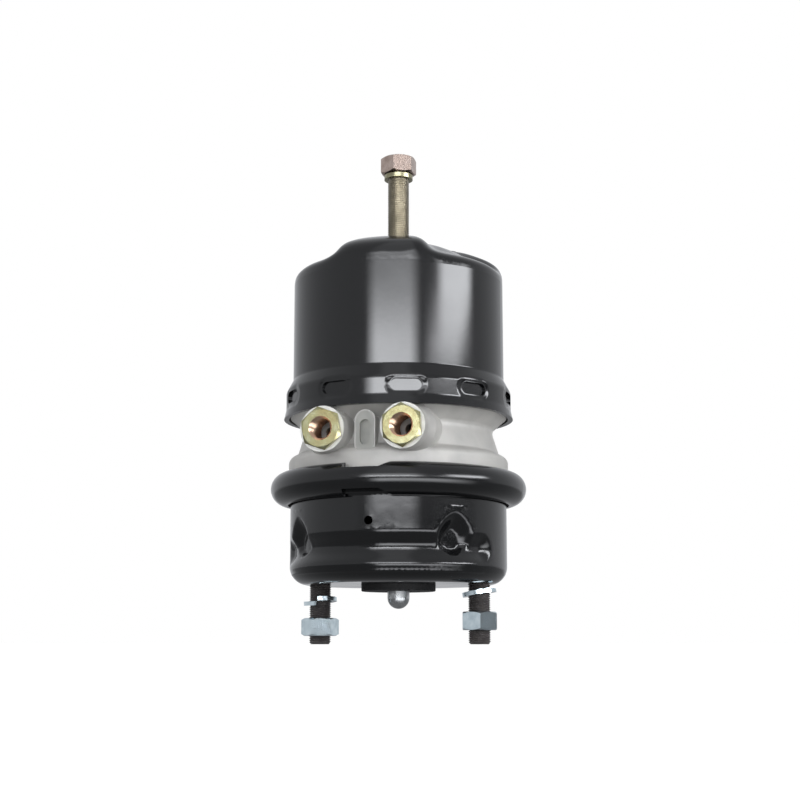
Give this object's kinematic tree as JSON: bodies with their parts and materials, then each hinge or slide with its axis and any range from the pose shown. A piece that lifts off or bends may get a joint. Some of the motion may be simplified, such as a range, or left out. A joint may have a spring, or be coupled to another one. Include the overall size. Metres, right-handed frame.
{
  "type": "air brake chamber",
  "caption": "Combined service and spring brake chamber for a pneumatic disc brake, with a wound-out release bolt, a cast flange body with air ports, a clamp ring and mounting studs.",
  "frame": {"origin": "centre of the face that bolts to the brake caliper, on the push rod's axis", "axes": "+Z along the chamber's axis from the mounting face to the release bolt; the two air ports point along -Y; the two mounting studs lie on the X axis"},
  "size_m": [0.1869, 0.187, 0.3658],
  "materials": {
    "black_paint": "gloss",
    "cast_aluminium": "matte",
    "yellow_zinc": "satin",
    "chromate_screw": "satin",
    "pink_zinc": "satin",
    "bright_zinc": "satin",
    "black_steel": "matte",
    "plain_steel": "satin",
    "rod_steel": "satin",
    "black_rubber": "matte",
    "grey_plastic": "matte"
  },
  "bodies": {
    "housing": {"lower_housing": "black_paint", "caliper_gasket": "black_rubber", "mount_stud_left": "black_steel", "mount_stud_right": "black_steel", "stud_nut_left": "bright_zinc", "stud_nut_right": "bright_zinc", "spring_washer_left": "bright_zinc", "spring_washer_right": "bright_zinc", "clamp_ring": "black_paint", "diaphragm": "black_rubber", "flange_body": "cast_aluminium", "flange_seal": "black_rubber", "port_fitting_service": "yellow_zinc", "port_fitting_parking": "yellow_zinc", "port_seal_service": "black_rubber", "port_seal_parking": "black_rubber", "vent_cap": "grey_plastic", "head_shell": "black_paint", "thread_insert": "plain_steel", "spring_seat": "plain_steel", "power_spring": "black_steel", "spring_piston": "cast_aluminium", "piston_seal": "black_rubber", "push_tube": "plain_steel", "push_tube_foot": "grey_plastic", "tube_bush": "grey_plastic", "tube_seal": "black_rubber", "return_spring": "plain_steel", "dust_boot": "black_rubber"},
    "push_rod_assembly": {"push_plate": "plain_steel", "push_rod": "rod_steel"},
    "release_collar": {"thrust_collar": "plain_steel"},
    "release_bolt": {"release_screw": "chromate_screw", "release_nut": "pink_zinc", "release_washer": "yellow_zinc"}
  },
  "joints": [
    {"name": "push_rod_stroke", "type": "slide", "parent": "housing", "child": "push_rod_assembly", "axis": [0, 0, 1], "range_m": [-0.057, 0], "stiffness_N_per_m": 1200, "springref_m": 0.02, "deforming": ["return_spring", "dust_boot", "diaphragm"]},
    {"name": "release_bolt_travel", "type": "slide", "parent": "housing", "child": "release_collar", "axis": [0, 0, 1], "range_m": [-0.0555, 0]},
    {"name": "release_bolt_turn", "type": "hinge", "parent": "release_collar", "child": "release_bolt", "pos_m": [0, 0, 0.317], "axis": [0, 0, 1], "range_deg": [-13320, 0]}
  ],
  "couplings": [
    {"joint": "release_bolt_turn", "follows": "release_bolt_travel", "rad_per_m": 4188.8}
  ]
}
